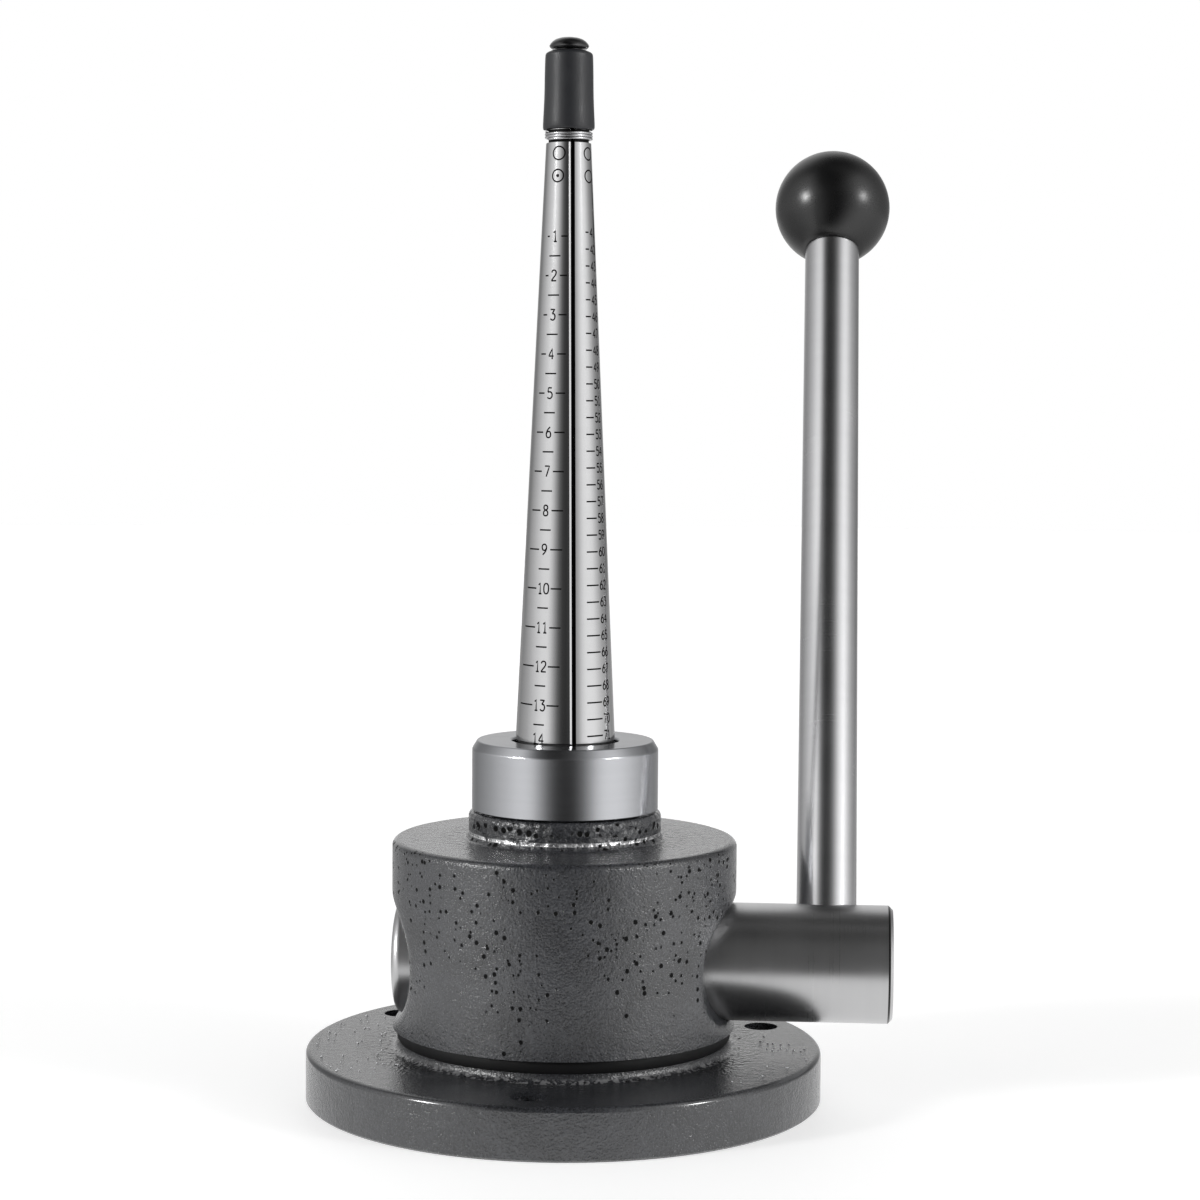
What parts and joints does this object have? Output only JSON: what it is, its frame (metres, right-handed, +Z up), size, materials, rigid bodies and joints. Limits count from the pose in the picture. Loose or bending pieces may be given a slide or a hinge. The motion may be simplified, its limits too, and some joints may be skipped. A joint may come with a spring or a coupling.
{
  "type": "ring stretcher",
  "caption": "Bench ring stretcher: a ball-ended lever turns a cam shaft that lifts a tapered core and spreads a tall four-leaf graduated mandrel on a round enamelled base.",
  "frame": {"origin": "centre of the base plate's underside, on the mandrel's axis and at the centre of the bench holes' circle", "axes": "+Z up along the mandrel; +X along the cross shaft towards the lever; -Y the user's side, which the lever is pulled towards"},
  "size_m": [0.1362, 0.178, 0.2446],
  "materials": {
    "enamel": "glossy blue-grey hammered enamel with small pits",
    "gasket_rubber": "matte black",
    "blackened_steel": "blackened",
    "ground_steel": "ground and polished",
    "satin_steel": "fine turned",
    "tool_steel": "polished",
    "mandrel_steel": "polished, engraved in black",
    "spring_steel": "bright wire",
    "bronze": "turned",
    "brass": "turned",
    "black_plastic": "polished moulded",
    "sleeve_rubber": "matte charcoal",
    "cap_black": "black, semi-gloss"
  },
  "bodies": {
    "frame": {"base_plate": "enamel", "base_gasket": "gasket_rubber", "housing": "enamel", "body_screws": "blackened_steel", "screw_washers": "blackened_steel", "guide_bush": "bronze", "return_spring": "spring_steel", "leaf_pins": "spring_steel", "foot_ring": "sleeve_rubber", "collar": "satin_steel", "spring_ring": "spring_steel", "tip_sleeve": "sleeve_rubber"},
    "lever": {"lever_shaft": "ground_steel", "lever_rod": "ground_steel", "ball_knob": "black_plastic", "knob_insert": "brass"},
    "core": {"tapered_core": "tool_steel", "cam_follower": "tool_steel", "end_cap": "cap_black"},
    "leaf_1": {"mandrel_leaf_1": "mandrel_steel"},
    "leaf_2": {"mandrel_leaf_2": "mandrel_steel"},
    "leaf_3": {"mandrel_leaf_3": "mandrel_steel"},
    "leaf_4": {"mandrel_leaf_4": "mandrel_steel"}
  },
  "joints": [
    {"name": "lever_turn", "type": "hinge", "parent": "frame", "child": "lever", "pos_m": [0, 0, 0.0323], "axis": [1, 0, 0], "range_deg": [0, 110]},
    {"name": "core_lift", "type": "slide", "parent": "frame", "child": "core", "axis": [0, 0, 1], "range_m": [0, 0.006], "stiffness_N_per_m": 1500, "springref_m": -0.004, "deforming": ["return_spring"]},
    {"name": "leaf_1_spread", "type": "slide", "parent": "frame", "child": "leaf_1", "axis": [0.5, 0.866, 0], "range_m": [0, 0.000232], "deforming": ["foot_ring", "spring_ring", "tip_sleeve"]},
    {"name": "leaf_2_spread", "type": "slide", "parent": "frame", "child": "leaf_2", "axis": [-0.866, 0.5, 0], "range_m": [0, 0.000232]},
    {"name": "leaf_3_spread", "type": "slide", "parent": "frame", "child": "leaf_3", "axis": [-0.5, -0.866, 0], "range_m": [0, 0.000232]},
    {"name": "leaf_4_spread", "type": "slide", "parent": "frame", "child": "leaf_4", "axis": [0.866, -0.5, 0], "range_m": [0, 0.000232]}
  ],
  "couplings": [
    {"joint": "core_lift", "follows": "lever_turn", "m_per_rad": 0.0031252},
    {"joint": "leaf_1_spread", "follows": "lever_turn", "m_per_rad": 0.00012046},
    {"joint": "leaf_2_spread", "follows": "lever_turn", "m_per_rad": 0.00012046},
    {"joint": "leaf_3_spread", "follows": "lever_turn", "m_per_rad": 0.00012046},
    {"joint": "leaf_4_spread", "follows": "lever_turn", "m_per_rad": 0.00012046}
  ]
}
